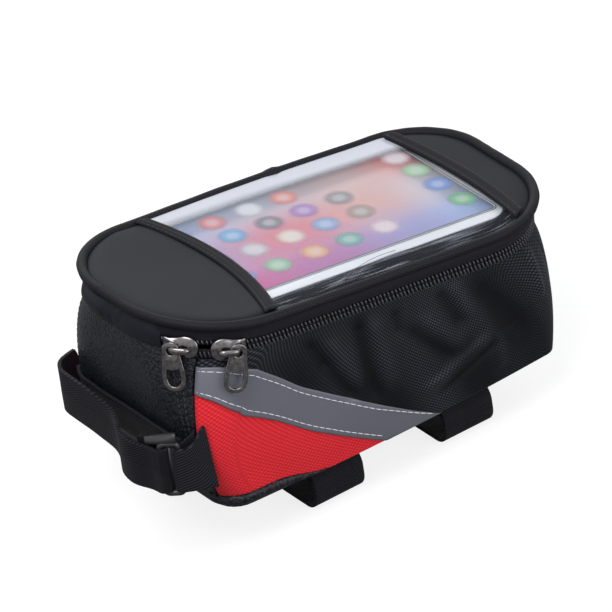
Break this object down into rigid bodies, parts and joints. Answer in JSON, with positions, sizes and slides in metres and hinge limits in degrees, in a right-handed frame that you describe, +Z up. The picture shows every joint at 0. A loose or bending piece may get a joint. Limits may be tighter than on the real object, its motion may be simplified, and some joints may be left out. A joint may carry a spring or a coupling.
{
  "type": "top tube phone bag",
  "caption": "Soft bicycle top tube bag with a hinged clear phone pocket lid, a zip with two sliders, two underside strap loops and a front strap with a ring.",
  "frame": {"origin": "middle of the underside that sits on the top tube", "axes": "+Z up, out of the lid side; +X towards the rear of the bicycle; -Y is the side with the zip sliders"},
  "size_m": [0.215, 0.1097, 0.1169],
  "materials": {
    "piping": "ribbed grosgrain",
    "smooth_leatherette": "smooth, slightly glossy",
    "film": "clear flexible film",
    "tape": "ribbed grosgrain",
    "band": "twill",
    "lining": "plain weave",
    "phone_shell": "glossy white",
    "phone_glass": "polished glass over a lit display",
    "zip_coil": "nylon coil",
    "gunmetal": "dark gunmetal",
    "grained_leatherette": "pebbled grain",
    "black_cloth": "woven polyester",
    "red_cloth": "woven polyester, small grid",
    "reflective_tape": "grey reflective, satin",
    "webbing": "woven webbing",
    "black_plastic": "moulded"
  },
  "bodies": {
    "bag": {"front_panel": "grained_leatherette", "side_and_rear_panel": "black_cloth", "near_red_panel": "red_cloth", "far_red_panel": "red_cloth", "near_reflective_tape": "reflective_tape", "far_reflective_tape": "reflective_tape", "inner_lining": "lining", "bottom_panel": "grained_leatherette", "bottom_binding": "grained_leatherette", "lower_zip_chain": "zip_coil", "front_gusset": "band", "strap_anchor": "webbing", "ring_tab": "webbing", "strap_ring": "black_plastic", "front_strap": "webbing", "front_bottom_strap": "webbing", "rear_bottom_strap": "webbing"},
    "lid": {"lid_piping": "piping", "lid_front_panel": "smooth_leatherette", "lid_rear_panel": "smooth_leatherette", "window_film": "film", "front_window_binding": "tape", "rear_window_binding": "tape", "lid_side_band": "band", "lid_board": "lining", "phone_body": "phone_shell", "phone_screen": "phone_glass", "upper_zip_chain": "zip_coil"},
    "slider_1": {"zip_slider_1": "gunmetal"},
    "tab_1": {"pull_tab_1": "gunmetal"},
    "slider_2": {"zip_slider_2": "gunmetal"},
    "tab_2": {"pull_tab_2": "gunmetal"}
  },
  "joints": [
    {"name": "lid_hinge", "type": "hinge", "parent": "bag", "child": "lid", "pos_m": [-0.10035, 0, 0.09209], "axis": [0, -1, 0], "range_deg": [0, 105]},
    {"name": "slider_1_travel", "type": "hinge", "parent": "bag", "child": "slider_1", "pos_m": [-0.0572, -0.0082, 0.07605], "axis": [0.1236, 0, 0.9923], "range_deg": [-6, 4]},
    {"name": "slider_2_travel", "type": "hinge", "parent": "bag", "child": "slider_2", "pos_m": [-0.0572, -0.0082, 0.07605], "axis": [0.1236, 0, 0.9923], "range_deg": [-4, 14]},
    {"name": "tab_1_swing", "type": "hinge", "parent": "slider_1", "child": "tab_1", "pos_m": [-0.09481, -0.03477, 0.08326], "axis": [-0.7486, -0.6326, 0.1986], "range_deg": [-85, 30]},
    {"name": "tab_2_swing", "type": "hinge", "parent": "slider_2", "child": "tab_2", "pos_m": [-0.07306, -0.05184, 0.07951], "axis": [-0.4042, -0.9013, 0.1557], "range_deg": [-30, 85]}
  ]
}
